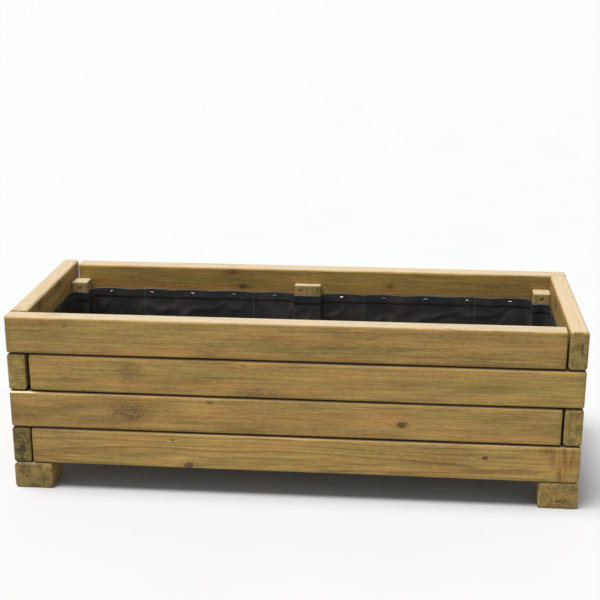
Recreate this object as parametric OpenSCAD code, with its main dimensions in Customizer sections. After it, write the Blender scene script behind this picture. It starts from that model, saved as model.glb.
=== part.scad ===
// Rectangular timber planter box on four block feet.
// Four courses of planed boards lap past one another at the corners, and corner posts,
// battens and rails inside tie them together. Slats and a fabric liner make the floor.
// Z points up, X runs along the length and the front faces -Y.
// The origin is on the ground, under the middle of the box.

/* [Overall size] */
// Outside length
box_l = 1375; // [1000:5:2000]
// Outside width, front to back
box_w = 530; // [400:5:900]
// Number of board courses in each wall
courses = 4; // [2:1:6]

/* [Wall boards] */
// Height of one board
board_h = 95; // [75:1:140]
// Thickness of one board
board_t = 44; // [34:1:60]
// Radius of the long edges
board_edge_r = 7; // [2:0.5:12]
// Gap where a board's end butts against the board round the corner
butt_gap = 4; // [1:0.5:8]
// The same gap at a board that was cut short
loose_gap = 9; // [1:0.5:14]

/* [Feet] */
// Height of the feet
foot_h = 66; // [40:1:120]
// Length of a foot along the box
foot_w = 95; // [70:1:140]
// Depth of a foot, front to back
foot_d = 90; // [70:1:140]
// Radius of the edges that run front to back
foot_edge_r = 9; // [3:0.5:14]

/* [Inner frame] */
// Side of the square corner posts
post_s = 44; // [32:1:60]
// Height and width of the square rails under the floor
rail_s = 44; // [36:1:60]
// Width of the battens at mid-length
batten_w = 70; // [50:1:90]
// Thickness of the battens
batten_t = 20; // [15:1:28]
// Radius of the long edges of the inner frame
frame_edge_r = 2; // [1:0.5:4]
// Distance from the rim down to the tops of the posts and battens
post_drop = 40; // [20:1:60]

/* [Floor] */
// Width of a floor slat
slat_w = 95; // [70:1:140]
// Thickness of a floor slat
slat_t = 20; // [15:1:28]
// Least gap between slats, for drainage
slat_gap_min = 10; // [5:1:20]
// Clearance between a slat's end and the face of a batten
slat_end_gap = 2; // [0.5:0.5:6]

/* [Liner] */
// Thickness of the liner fabric
liner_t = 1.5; // [1:0.5:3]
// Distance from the rim down to the liner's hem
hem_drop = 65; // [50:1:100]
// Clearance between the liner and the timber
liner_gap = 0.3; // [0.1:0.1:1]
// Greatest distance between staples
staple_spacing = 120; // [60:5:200]

/* [Screws] */
// Shank diameter of the frame screws
screw_d = 5; // [4:0.5:6]
// Head diameter of the frame screws
screw_head_d = 9.5; // [8:0.5:12]
// Shank diameter of the slat screws
slat_screw_d = 4; // [3:0.5:5]
// Head diameter of the slat screws
slat_screw_head_d = 7.6; // [6.5:0.5:9.5]
// How far the screws through the posts and rails reach into the walls
wall_bite = 30; // [15:1:32]
// How far the foot screws reach into the timber above
foot_bite = 26; // [15:1:30]
// How far the slat screws reach into the rails
rail_bite = 25; // [15:1:30]
// Depth of the foot screws' heads below the foot's sole
foot_screw_sink = 3; // [1:0.5:8]

/* [Hidden] */
$fn = 48;
hole_gap = 0.15;                 // radial clearance round screws and staple legs
drive_w = 2.6;                   // square drive recess of a screw
drive_depth = 2;
stagger = 12;                    // screws of one course sit this far above and below its middle
batten_screw_x = 20;             // from the batten's centre line
foot_screw_inset = 16;           // from the foot's inner edges
slat_screw_inset = 20;           // from the slat's edges
end_rail_screw_inset = 50;       // from the end rail's ends
rail_screw_step = 3;             // a rail screw in every third slat gap
staple_crown = 11;
staple_wire = 0.9;
staple_leg = 8;
staple_drop = 10;                // from the hem down to the staples

wood_face = [0.60, 0.48, 0.30];
wood_cut = [0.52, 0.44, 0.29];
wood_frame = [0.66, 0.54, 0.35];
fabric_black = [0.13, 0.13, 0.13];
zinc = [0.72, 0.70, 0.62];

SIDES = ["front", "back", "left", "right"];
CORNERS = ["front_left", "front_right", "back_left", "back_right"];

inner_l = box_l - 2 * board_t;
inner_w = box_w - 2 * board_t;
rim_z = foot_h + courses * board_h;
post_top = rim_z - post_drop;
hem_z = rim_z - hem_drop;
rail_top = foot_h + rail_s;
floor_z = rail_top + slat_t;

clear_l = inner_l - 2 * post_s;  // between the posts, along the box
clear_w = inner_w - 2 * post_s;  // between the posts, across the box
corner_s = max(post_s, rail_s);  // what the posts and rails take up at each corner
end_rail_l = inner_w - 2 * corner_s;
floor_l = inner_l - 2 * corner_s;
slat_count = floor((floor_l - slat_gap_min) / (slat_w + slat_gap_min));
slat_pitch = slat_w + (floor_l - slat_count * slat_w) / (slat_count + 1);
slat_l = inner_w - 2 * (batten_t + slat_end_gap);
slat_screw_y = (slat_l / 2 + inner_w / 2 - rail_s) / 2;

function is_long(side) = side == "front" || side == "back";
function turn_of(side) = side == "back" || side == "left" ? 180 : 0;
function is_odd(course) = course % 2 == 1;
function course_bottom(course) = foot_h + (course - 1) * board_h;
function course_top(course) = course_bottom(course) + board_h;

// Middle of the stretch of a course that a post or batten covers from its foot at z = low
function tie_z(course, low) =
    (max(course_bottom(course), low) + min(course_top(course), post_top)) / 2;

// The third front board and the top back board were cut short
function end_gap(side, course) =
    (side == "front" && course == 3) || (side == "back" && course == 4) ? loose_gap : butt_gap;

// ---- Placement ----

// Draws on the front or right wall, and turns it to the wall that is named
module on_side(side) {
    rotate([0, 0, turn_of(side)]) children();
}

// Draws at the front left corner, and mirrors it to the corner that is named
module at_corner(corner) {
    at_right = corner == "front_right" || corner == "back_right";
    at_back = corner == "back_left" || corner == "back_right";
    mirror([at_right ? 1 : 0, 0, 0]) mirror([0, at_back ? 1 : 0, 0]) children();
}

// ---- Timber sections ----

module eased_section(w, h, r) {
    translate([r, 0]) square([w - 2 * r, h]);
    translate([0, r]) square([w, h - 2 * r]);
    for (x = [r, w - r], y = [r, h - r])
        translate([x, y]) circle(r = r);
}

// Bar from the origin along +X, w wide along Y and h high
module eased_bar(l, w, h, r) {
    rotate([90, 0, 90]) linear_extrude(l) eased_section(w, h, r);
}

// ---- Fasteners ----

// Countersunk screw with its head's top at the origin, pointing down
module screw(l, d, head_d, grow = 0) {
    head_h = (head_d - d) / 2;
    tip_h = d;
    translate([0, 0, -head_h]) cylinder(h = head_h, d1 = d + 2 * grow, d2 = head_d + 2 * grow);
    translate([0, 0, -(l - tip_h)]) cylinder(h = l - tip_h, d = d + 2 * grow);
    translate([0, 0, -l]) cylinder(h = tip_h, d1 = 1, d2 = d + 2 * grow);
}

module driven_screw(l, d, head_d) {
    difference() {
        screw(l, d, head_d);
        translate([-drive_w / 2, -drive_w / 2, -drive_depth]) cube([drive_w, drive_w, drive_depth + 1]);
    }
}

// A hole for a screw, or the screw itself
module screw_or_hole(l, d, head_d, hole) {
    if (hole) screw(l, d, head_d, hole_gap);
    else driven_screw(l, d, head_d);
}

// Screws through the two posts at the ends of one wall into one of its boards
module post_screws_in(side, course, hole) {
    l = post_s + wall_bite;
    z = tie_z(course, foot_h);
    on_side(side)
        for (end = [-1, 1])
            if (is_long(side))
                translate([end * (inner_l - post_s) / 2, post_s - inner_w / 2, z + stagger])
                    rotate([-90, 0, 0]) screw_or_hole(l, screw_d, screw_head_d, hole);
            else
                translate([inner_l / 2 - post_s, end * (inner_w - post_s) / 2, z - stagger])
                    rotate([0, -90, 0]) screw_or_hole(l, screw_d, screw_head_d, hole);
}

// Screws through the batten of a long wall into one of its boards
module batten_screws_in(side, course, hole) {
    on_side(side)
        for (end = [-1, 1])
            translate([end * batten_screw_x, batten_t - inner_w / 2, tie_z(course, rail_top) + end * stagger])
                rotate([-90, 0, 0])
                    screw_or_hole(batten_t + wall_bite, slat_screw_d, slat_screw_head_d, hole);
}

// Screws through the rail of one wall into its lowest board
module rail_screws_in(side, hole) {
    l = rail_s + wall_bite;
    on_side(side)
        if (is_long(side)) {
            for (gap = [1 : rail_screw_step : slat_count - 1])
                translate([(gap - slat_count / 2) * slat_pitch, rail_s - inner_w / 2, foot_h + rail_s / 2])
                    rotate([-90, 0, 0]) screw_or_hole(l, screw_d, screw_head_d, hole);
        } else {
            for (end = [-1, 1])
                translate([
                    inner_l / 2 - rail_s,
                    end * (end_rail_l / 2 - end_rail_screw_inset),
                    floor_z - rail_s / 2
                ])
                    rotate([0, -90, 0]) screw_or_hole(l, screw_d, screw_head_d, hole);
        }
}

// Draws at the sole of a foot, under the long board, the side board and the post
module at_foot_screws(corner) {
    at_corner(corner)
        translate([-box_l / 2, -box_w / 2, 0])
            for (at = [
                [foot_w - foot_screw_inset, board_t / 2],
                [board_t / 2, foot_d - foot_screw_inset],
                [board_t + post_s / 2, board_t + post_s / 2]
            ])
                translate([at.x, at.y, 0]) children();
}

// Screws up through one foot into the timber above it
module foot_screws_in(corner, hole) {
    l = foot_h - foot_screw_sink + foot_bite;
    at_foot_screws(corner)
        translate([0, 0, foot_screw_sink])
            rotate([180, 0, 0]) screw_or_hole(l, screw_d, screw_head_d, hole);
}

// Screws down through a slat into the rail of one long wall
module slat_screws_in(side, i, hole) {
    x = (i - (slat_count + 1) / 2) * slat_pitch;
    for (edge = [-1, 1])
        translate([
            x + edge * (slat_w / 2 - slat_screw_inset),
            (side == "back" ? 1 : -1) * slat_screw_y,
            floor_z
        ])
            screw_or_hole(slat_t + rail_bite, slat_screw_d, slat_screw_head_d, hole);
}

// Staple with its crown along X on the plane y = 0 and its legs towards -Y
module staple(grow = 0) {
    w = staple_wire + 2 * grow;
    if (grow == 0)
        translate([-staple_crown / 2, 0, -w / 2]) cube([staple_crown, staple_wire, w]);
    for (end = [-1, 1])
        translate([end * (staple_crown - staple_wire) / 2 - w / 2, -staple_leg - grow, -w / 2])
            cube([w, staple_leg + grow + (grow > 0 ? 1 : 0), w]);
}

// Staples that hold the liner's hem to one wall
module staples_in(side, grow = 0) {
    face = liner_gap + liner_t;
    half = is_long(side) ? clear_l / 2 : clear_w / 2;
    start = is_long(side) ? batten_w / 2 : 0;
    count = ceil((half - start) / staple_spacing);
    on_side(side)
        for (end = [-1, 1], i = [0 : count - 1]) {
            along = end * (start + (i + 0.5) * (half - start) / count);
            z = hem_z - staple_drop;
            if (is_long(side))
                translate([along, face - inner_w / 2, z]) staple(grow);
            else
                translate([inner_l / 2 - face, along, z]) rotate([0, 0, 90]) staple(grow);
        }
}

// ---- Walls ----

module long_bar(side, course) {
    l = box_l - board_t - end_gap(side, course);
    translate([-box_l / 2, -box_w / 2, course_bottom(course)])
        eased_bar(l, board_t, board_h, board_edge_r);
}

module cross_bar(side, course) {
    l = box_w - board_t - end_gap(side, course);
    translate([box_l / 2, -box_w / 2, course_bottom(course)])
        rotate([0, 0, 90]) eased_bar(l, board_t, board_h, board_edge_r);
}

// Each board reaches one outer corner and butts against a neighbour at its other end.
// Odd courses are the mirror image of even ones, so the corners interlock.
module laid_board(side, course) {
    odd = is_odd(course);
    pattern_side = !odd ? side : side == "left" ? "right" : side == "right" ? "left" : side;
    mirror([odd ? 1 : 0, 0, 0])
        on_side(pattern_side)
            if (is_long(side)) long_bar(side, course);
            else cross_bar(side, course);
}

module wall_board(side, course) {
    color(wood_face)
        difference() {
            laid_board(side, course);
            post_screws_in(side, course, true);
            if (is_long(side)) batten_screws_in(side, course, true);
            if (course == 1) {
                rail_screws_in(side, true);
                for (corner = CORNERS) foot_screws_in(corner, true);
            }
            if (course_bottom(course) < hem_z && course_top(course) > hem_z)
                staples_in(side, hole_gap);
        }
}

// ---- Feet ----

module foot(corner) {
    color(wood_cut)
        difference() {
            at_corner(corner)
                translate([foot_w - box_l / 2, -box_w / 2, 0])
                    rotate([0, 0, 90]) eased_bar(foot_d, foot_w, foot_h, foot_edge_r);
            foot_screws_in(corner, true);
            at_foot_screws(corner)
                translate([0, 0, -1])
                    cylinder(h = foot_screw_sink + 1, d = screw_head_d + 2 * hole_gap);
        }
}

// ---- Inner frame ----

module corner_post(corner) {
    color(wood_frame)
        difference() {
            at_corner(corner)
                translate([-inner_l / 2, -inner_w / 2, foot_h])
                    linear_extrude(post_top - foot_h) eased_section(post_s, post_s, frame_edge_r);
            for (course = [1 : courses], side = SIDES)
                post_screws_in(side, course, true);
            foot_screws_in(corner, true);
        }
}

module batten(side) {
    color(wood_frame)
        difference() {
            on_side(side)
                translate([-batten_w / 2, -inner_w / 2, rail_top])
                    linear_extrude(post_top - rail_top) eased_section(batten_w, batten_t, frame_edge_r);
            for (course = [1 : courses]) batten_screws_in(side, course, true);
        }
}

module floor_rail(side) {
    color(wood_frame)
        difference() {
            on_side(side)
                translate([-clear_l / 2, -inner_w / 2, foot_h])
                    eased_bar(clear_l, rail_s, rail_s, frame_edge_r);
            rail_screws_in(side, true);
            for (i = [1 : slat_count]) slat_screws_in(side, i, true);
        }
}

module end_rail(side) {
    color(wood_frame)
        difference() {
            on_side(side)
                translate([inner_l / 2, -end_rail_l / 2, floor_z - rail_s])
                    rotate([0, 0, 90]) eased_bar(end_rail_l, rail_s, rail_s, frame_edge_r);
            rail_screws_in(side, true);
        }
}

// ---- Floor and liner ----

module floor_slat(i) {
    x = (i - (slat_count + 1) / 2) * slat_pitch;
    color(wood_frame)
        difference() {
            translate([x + slat_w / 2, -slat_l / 2, rail_top])
                rotate([0, 0, 90]) eased_bar(slat_l, slat_w, slat_t, frame_edge_r);
            for (side = ["front", "back"]) slat_screws_in(side, i, true);
        }
}

// Plan of the space inside the walls, posts and battens, drawn in by an inset
module planting_plan(inset) {
    difference() {
        square([inner_l - 2 * inset, inner_w - 2 * inset], center = true);
        for (x = [-1, 1], y = [-1, 1])
            translate([x * inner_l / 2, y * inner_w / 2])
                square(2 * (post_s + inset), center = true);
        for (y = [-1, 1])
            translate([0, y * inner_w / 2])
                square([batten_w + 2 * inset, 2 * (batten_t + inset)], center = true);
    }
}

module liner() {
    bottom = floor_z + liner_gap;
    color(fabric_black)
        difference() {
            translate([0, 0, bottom]) linear_extrude(hem_z - bottom) planting_plan(liner_gap);
            translate([0, 0, bottom + liner_t])
                linear_extrude(hem_z - bottom) planting_plan(liner_gap + liner_t);
            for (side = SIDES) staples_in(side, hole_gap);
        }
}

module liner_staples() {
    color(zinc) for (side = SIDES) staples_in(side);
}

// ---- Screw sets ----

module post_screws() {
    color(zinc) for (side = SIDES, course = [1 : courses]) post_screws_in(side, course, false);
}

module batten_screws() {
    color(zinc)
        for (side = ["front", "back"], course = [1 : courses]) batten_screws_in(side, course, false);
}

module rail_screws() {
    color(zinc) for (side = SIDES) rail_screws_in(side, false);
}

module slat_screws() {
    color(zinc)
        for (side = ["front", "back"], i = [1 : slat_count]) slat_screws_in(side, i, false);
}

module foot_screws() {
    color(zinc) for (corner = CORNERS) foot_screws_in(corner, false);
}

for (side = SIDES, course = [1 : courses])
    wall_board(side, course);
for (corner = CORNERS)
    foot(corner);
for (corner = CORNERS)
    corner_post(corner);
for (side = ["front", "back"])
    batten(side);
for (side = ["front", "back"])
    floor_rail(side);
for (side = ["left", "right"])
    end_rail(side);
for (i = [1 : slat_count])
    floor_slat(i);
liner();
liner_staples();
post_screws();
batten_screws();
rail_screws();
slat_screws();
foot_screws();
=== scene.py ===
import itertools
import math
from dataclasses import dataclass
from types import SimpleNamespace

import bmesh
import bpy
import numpy as np
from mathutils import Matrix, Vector
from mathutils.geometry import delaunay_2d_cdt


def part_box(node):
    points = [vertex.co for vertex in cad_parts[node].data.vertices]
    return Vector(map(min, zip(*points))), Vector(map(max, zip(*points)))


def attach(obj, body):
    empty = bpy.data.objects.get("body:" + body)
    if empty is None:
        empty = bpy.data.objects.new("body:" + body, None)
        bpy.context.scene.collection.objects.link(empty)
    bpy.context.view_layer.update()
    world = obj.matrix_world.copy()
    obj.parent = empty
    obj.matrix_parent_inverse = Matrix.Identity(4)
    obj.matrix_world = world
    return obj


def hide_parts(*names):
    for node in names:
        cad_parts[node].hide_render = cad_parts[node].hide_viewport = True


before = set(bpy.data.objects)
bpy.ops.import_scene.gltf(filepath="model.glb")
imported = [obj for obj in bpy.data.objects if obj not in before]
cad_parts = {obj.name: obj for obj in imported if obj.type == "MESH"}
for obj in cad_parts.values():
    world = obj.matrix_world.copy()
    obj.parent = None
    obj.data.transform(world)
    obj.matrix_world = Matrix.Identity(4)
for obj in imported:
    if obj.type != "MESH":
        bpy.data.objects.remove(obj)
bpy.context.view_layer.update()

MM = 0.001
SIDES = ("front", "back", "left", "right")
CORNERS = ("front_left", "front_right", "back_left", "back_right")
COURSES = 4
SLATS = sum(name.startswith("floor_slat_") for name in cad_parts)
rng = np.random.default_rng(7)
norm = np.linalg.norm


def add_object(name, data):
    made = bpy.data.objects.new(name, data)
    bpy.context.collection.objects.link(made)
    return made


def stand_in(piece, node, material):
    """Finishes a piece that stands for one CAD node."""
    piece.data.materials.append(material)
    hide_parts(node)
    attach(piece, "root")


# ---- camera, light and floor

CAMERA_PLACE = (0.274, -2.988, 1.326)
CAMERA_TILT = 71.9  # degrees up from straight down
CAMERA_TURN = 5.28  # degrees to the left of straight ahead

SKY_BAND = (0.10, 0.42)   # heights in the sky between which the horizon's light fades
SKY_POWER = (1.25, 0.50)  # strength below that band and above it
SKY_COLOUR = (0.985, 0.99, 1.0)

LAMP_POWER = 6.4
LAMP_SPREAD = 28  # degrees across, for soft shadows
LAMP_COLOUR = (1.0, 0.985, 0.95)
LAMP_DIRECTION = (0.20, 0.10, -0.97)

FLOOR_RADIUS = 300
FLOOR_TONES = (0.372, 0.377, 0.389), (0.386, 0.391, 0.403)


def make_camera():
    """Camera right of centre and above the rim, looking down at the front."""
    cam = bpy.data.cameras.new("camera")
    cam.lens = 74.12
    cam.sensor_width = 36
    cam.shift_y = 0.05
    cam.clip_end = 1000
    obj = add_object("camera", cam)
    obj.location = CAMERA_PLACE
    obj.rotation_euler = (math.radians(CAMERA_TILT), 0, math.radians(CAMERA_TURN))
    bpy.context.scene.camera = obj


def make_sky():
    """Pale surroundings that are brightest round the horizon."""
    world = bpy.data.worlds.new("studio")
    world.use_nodes = True
    t = Tree(world)
    up = t.split(t.place("Generated"))[2]
    power = t.step(up, *SKY_BAND, *SKY_POWER)
    background = t.node("Background", {"Color": SKY_COLOUR, "Strength": power})
    t.node("OutputWorld", (background,), None)
    bpy.context.scene.world = world


def make_lamp():
    """Broad soft lamp almost overhead."""
    lamp = bpy.data.lights.new("softbox_high", "SUN")
    lamp.energy = LAMP_POWER
    lamp.angle = math.radians(LAMP_SPREAD)
    lamp.color = LAMP_COLOUR
    high = add_object("softbox_high", lamp)
    high.rotation_mode = "QUATERNION"
    high.rotation_quaternion = Vector(LAMP_DIRECTION).to_track_quat("-Z", "Y")


def make_floor():
    """Wide pale disc under the feet."""
    mesh = bpy.data.meshes.new("floor")
    build = bmesh.new()
    bmesh.ops.create_circle(build, cap_ends=True, radius=FLOOR_RADIUS, segments=96)
    build.to_mesh(mesh)
    build.free()
    floor = add_object("floor", mesh)
    material, t = new_material("floor_pale")
    t.surface(t.mix(t.noise(t.place(), 3), *FLOOR_TONES), 0.75)
    mesh.materials.append(material)


def make_studio():
    make_sky()
    make_lamp()
    view = bpy.context.scene.view_settings
    view.view_transform = "Standard"
    view.look = "None"
    view.exposure = 0.0
    make_floor()


# ---- shader helper

class Tree:
    """Short names for the nodes that the materials use."""

    def __init__(self, owner):
        self.tree = owner.node_tree
        self.tree.nodes.clear()

    def node(self, kind, inputs=(), output=0, **settings):
        """Adds a node, with its inputs given by place or by name, and gives one of its outputs."""
        made = self.tree.nodes.new("ShaderNode" + kind)
        for key, value in settings.items():
            setattr(made, key, value)
        for key, value in dict(inputs if isinstance(inputs, dict) else enumerate(inputs)).items():
            socket = made.inputs[key]
            if isinstance(value, bpy.types.NodeSocket):
                self.tree.links.new(value, socket)
            elif isinstance(value, tuple) and len(value) < len(socket.default_value):
                socket.default_value = (*value, 1)
            else:
                socket.default_value = value
        return made.outputs if output is None else made.outputs[output]

    def attribute(self, name):
        return self.node("Attribute", output="Vector", attribute_name=name)

    def place(self, kind="Object"):
        return self.node("TexCoord", output=kind)

    def split(self, vector):
        return tuple(self.node("SeparateXYZ", (vector,), None))

    def grey(self, value):
        return self.node("CombineXYZ", (value, value, value))

    def math(self, operation, *values):
        return self.node("Math", values, operation=operation)

    def times(self, a, *others):
        for b in others:
            a = self.math("MULTIPLY", a, b)
        return a

    def scaled(self, value, scale, start):
        """start + scale * value"""
        return self.math("MULTIPLY_ADD", value, scale, start)

    def vary(self, value, layer, strength):
        """Raises or lowers a value by a layer that lies round 0.5."""
        return self.scaled(self.math("SUBTRACT", layer, 0.5), strength, value)

    def hypot(self, a, b):
        return self.math("SQRT", self.math("ADD", self.times(a, a), self.times(b, b)))

    def off_middle(self, value):
        """How far a value is from the middle of its whole-number step."""
        return self.math("ABSOLUTE", self.math("SUBTRACT", self.math("FRACT", value), 0.5))

    def stretched(self, vector, scales, offset=(0, 0, 0)):
        longer = self.node("VectorMath", (vector, scales), operation="MULTIPLY")
        return self.node("VectorMath", (longer, offset), operation="ADD")

    def noise(self, vector, scale, detail=2, roughness=0.5):
        inputs = {"Vector": vector, "Scale": scale, "Detail": detail, "Roughness": roughness}
        return self.node("TexNoise", inputs, "Fac")

    def white_noise(self, value):
        return self.node("TexWhiteNoise", {"W": value}, "Value", noise_dimensions="1D")

    def step(self, value, low, high, new_low=0.0, new_high=1.0):
        numbers = (value, low, high, new_low, new_high)
        return self.node("MapRange", numbers, interpolation_type="SMOOTHSTEP")

    def mix(self, factor, a, b, kind="MIX"):
        """Mixes colours, whose sockets on this node are numbers 6, 7 and, going out, 2."""
        return self.node("Mix", {0: factor, 6: a, 7: b}, 2, data_type="RGBA", blend_type=kind)

    def tinted(self, colour, tone):
        return self.mix(1.0, colour, tone, "MULTIPLY")

    def bump(self, height, strength, distance):
        return self.node("Bump", {"Height": height, "Strength": strength, "Distance": distance})

    def surface(self, colour, roughness, **sockets):
        inputs = {name.replace("_", " "): value for name, value in sockets.items()}
        shader = self.node("BsdfPrincipled", {"Base Color": colour, "Roughness": roughness, **inputs})
        self.node("OutputMaterial", (shader,), None)


def new_material(name):
    material = bpy.data.materials.new(name)
    material.use_nodes = True
    return material, Tree(material)


# ---- noise for mesh work

def lattice(cell, seed):
    """Repeatable random numbers from 0 to 1 at whole-number points."""
    x, y, z = (cell[..., i].astype(np.int64) for i in range(3))
    h = (x * 374761393 + y * 668265263 + z * 1440662683 + seed * 1274126177) & 0xFFFFFFFF
    h = ((h ^ (h >> 13)) * 1103515245) & 0xFFFFFFFF
    h = ((h ^ (h >> 15)) * 668265263) & 0xFFFFFFFF
    return ((h ^ (h >> 16)) & 0xFFFF) / 65535.0


def noise(points, seed, octaves=2):
    """Smooth noise from -1 to 1 at an array of points, one unit to a bump."""
    total, size = 0.0, 1.0
    for octave in range(octaves):
        p = points * 2 ** octave + 17.3 * octave
        cell = np.floor(p)
        f = p - cell
        f = f * f * (3 - 2 * f)
        value = 0.0
        for corner in range(8):
            bits = np.array([corner & 1, corner >> 1 & 1, corner >> 2 & 1])
            weight = np.prod(np.where(bits, f, 1 - f), axis=-1)
            value = value + weight * lattice(cell + bits, seed + 31 * octave)
        total = total + size * (2 * value - 1)
        size *= 0.5
    return total / 1.5


def smooth(value, low, high):
    t = np.clip((value - low) / (high - low), 0, 1)
    return t * t * (3 - 2 * t)


def line_noise(at, seed):
    """Noise along a line."""
    return noise(np.outer(at, (1, 0, 0)), seed)


# ---- fasteners found in the frame

def islands(node):
    """Vertex arrays of the separate solids in one CAD node."""
    mesh = bpy.data.objects[node].data
    places = np.empty(len(mesh.vertices) * 3)
    mesh.vertices.foreach_get("co", places)
    places = places.reshape(-1, 3)
    _, merged = np.unique(np.round(places, 6), axis=0, return_inverse=True)
    merged = merged.ravel()
    build = bmesh.new()
    build.from_mesh(mesh)
    parent = list(range(merged.max() + 1))

    def root(i):
        while parent[i] != i:
            parent[i] = parent[parent[i]]
            i = parent[i]
        return i

    for edge in build.edges:
        a, b = (root(merged[v.index]) for v in edge.verts)
        parent[a] = b
    build.free()
    labels = np.array([root(i) for i in merged])
    return [places[labels == label] for label in np.unique(labels)]


def find_screws(node):
    """Head centre, driving direction, length and radii of each screw in a node."""
    found = []
    for points in islands(node):
        low, high = points.min(0), points.max(0)
        axis = int(np.argmax(high - low))
        across = [i for i in range(3) if i != axis]
        centre = (low + high) / 2
        reach = norm(points[:, across] - centre[across], axis=1)
        at_low = reach[points[:, axis] < low[axis] + MM].max()
        at_high = reach[points[:, axis] > high[axis] - MM].max()
        drive = np.zeros(3)
        drive[axis] = 1 if at_low > at_high else -1
        head = centre.copy()
        head[axis] = low[axis] if at_low > at_high else high[axis]
        shank = np.median(np.sort(reach)[:-4])
        found.append(dict(head=head, drive=drive, length=high[axis] - low[axis],
                          head_r=max(at_low, at_high), shank_r=float(shank)))
    return found


SCREW_NODES = ("post_screws", "batten_screws", "rail_screws", "slat_screws", "foot_screws")
screws = {node: find_screws(node) for node in SCREW_NODES}
all_screws = [screw for group in screws.values() for screw in group]


# ---- timber meshes

ARC = 4                # grid steps in half of a rounded edge
MARK_REACH = 6 * MM    # the grid is finer this far round a screw
MARK_STEP = 1 * MM     # and this is its spacing there
HEAD_SINK = 0.7 * MM   # how far screw heads are pulled in below the timber
HEAD_NEAR = 4 * MM     # a head this far outside a bar can still be sunk in it
BITE = 6 * MM          # a screw counts for the bar that it is in this far below its head
FULL_ARRIS = 0.29      # 1 - cos 45 degrees, at the middle of a rounded edge
FLAT_SAWN = 0.5        # share of bars whose pith lies past the far face, not below the bar
CHECK_DEPTH = 2.2 * MM  # deepest drying crack
RING_WIDTHS = (2.8, 5.0)              # in millimetres
BOW_PLACES = (0, 0.06, 0.5, 0.94, 1)  # where a bow is given, as shares of the length


@dataclass
class Timber:
    """How one bar was cut from its tree, and what has happened to it since."""
    grain: int                # the axis that the bar runs along
    edge_r: float             # radius of its long edges
    end_r: float = 3.5 * MM   # radius of its ends' edges
    step: float = 7 * MM      # grid spacing along the bar
    across: float = 3.5 * MM  # grid spacing across it
    knots: tuple = ()         # (along, up, half-length, half-height, strength)
    blotches: tuple = ()      # brown patches, given like knots
    stains: tuple = ()        # rusty patches, given like knots
    pith: tuple = None        # where the pith lay, seen from the end; drawn if not given
    ring: float = None        # width of a growth ring; drawn if not given
    tone: tuple = None        # how light and how warm it is; drawn if not given
    checks: int = 3           # drying cracks in its ends
    seams: tuple = (0, 0)     # how far it draws back from the bars below and above
    bow: tuple = None         # how far it stands back at BOW_PLACES, in millimetres
    end: tuple = (0, 0)       # how light and how rusty its end grain is
    set_back: tuple = (0, 0)  # how far its two ends stand back, in millimetres
    lit_edge: float = 0           # length of the painted highlight, like a worn edge, along the upper edge at its first end


def grid_lines(length, radius, step, marks=()):
    """Grid positions along one side of a bar, close together round its edges and at marks."""
    arc = [radius * (1 - math.tan(math.radians(45) * k / ARC)) for k in range(1, ARC + 1)]
    count = max(1, round((length - 2 * radius) / step))
    lines = list(np.linspace(radius, length - radius, count + 1))
    lines += arc + [length - a for a in arc]
    for mark in marks:
        lines = [x for x in lines
                 if abs(x - mark) > MARK_REACH or x <= radius or x >= length - radius]
        extra = mark + np.arange(-MARK_REACH, MARK_REACH + MARK_STEP / 2, MARK_STEP)
        lines += [x for x in extra if radius < x < length - radius]
    lines = np.sort(np.array(lines))
    keep = np.concatenate([[True], np.diff(lines) > 0.15 * MM])
    lines = lines[keep]
    lines[-1] = length
    return lines


def skin(counts):
    """Numbers the grid points on the surface of a box and lists its faces, four corners each."""
    index = -np.ones(counts, dtype=np.int64)
    grid = np.indices(counts)
    on = np.zeros(counts, dtype=bool)
    for axis in range(3):
        on |= (grid[axis] == 0) | (grid[axis] == counts[axis] - 1)
    index[on] = np.arange(on.sum())
    faces = []
    for axis in range(3):
        for end in (0, -1):
            sheet = np.take(index, end, axis=axis)
            a, b, c, d = sheet[:-1, :-1], sheet[1:, :-1], sheet[1:, 1:], sheet[:-1, 1:]
            quad = np.stack([a, b, c, d], axis=-1).reshape(-1, 4)
            if (end == 0) != (axis == 1):
                quad = quad[:, ::-1]
            faces.append(quad)
    return np.stack([g[on] for g in grid], axis=-1), np.concatenate(faces)


def mesh_object(name, points, faces, **attributes):
    """Smooth-shaded object from arrays of points and faces, with a vector at each point per attribute."""
    mesh = bpy.data.meshes.new(name)
    mesh.vertices.add(len(points))
    mesh.vertices.foreach_set("co", np.asarray(points, dtype=np.float32).ravel())
    corners = faces.shape[1]
    mesh.loops.add(faces.size)
    mesh.loops.foreach_set("vertex_index", faces.ravel().astype(np.int32))
    mesh.polygons.add(len(faces))
    mesh.polygons.foreach_set("loop_start", np.arange(0, faces.size, corners, dtype=np.int32))
    mesh.update(calc_edges=True)
    mesh.validate()
    for key, values in attributes.items():
        layer = mesh.attributes.new(key, "FLOAT_VECTOR", "POINT")
        layer.data.foreach_set("vector", np.asarray(values, dtype=np.float32).ravel())
    mesh.polygons.foreach_set("use_smooth", np.ones(len(faces), dtype=bool))
    return add_object(name, mesh)


def sunk_screws(low, extent, axes):
    """Place, direction and head radius of each screw sunk in a bar, along the bar's own axes."""
    sunk = []
    for screw in all_screws:
        head = (screw["head"] - low)[axes]
        below_head = (screw["head"] + screw["drive"] * BITE - low)[axes]
        bites = np.all(below_head > 0) and np.all(below_head < extent)
        if bites and np.all(head > -HEAD_NEAR) and np.all(head < extent + HEAD_NEAR):
            sunk.append((head, screw["drive"][axes], screw["head_r"]))
    return sunk


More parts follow.
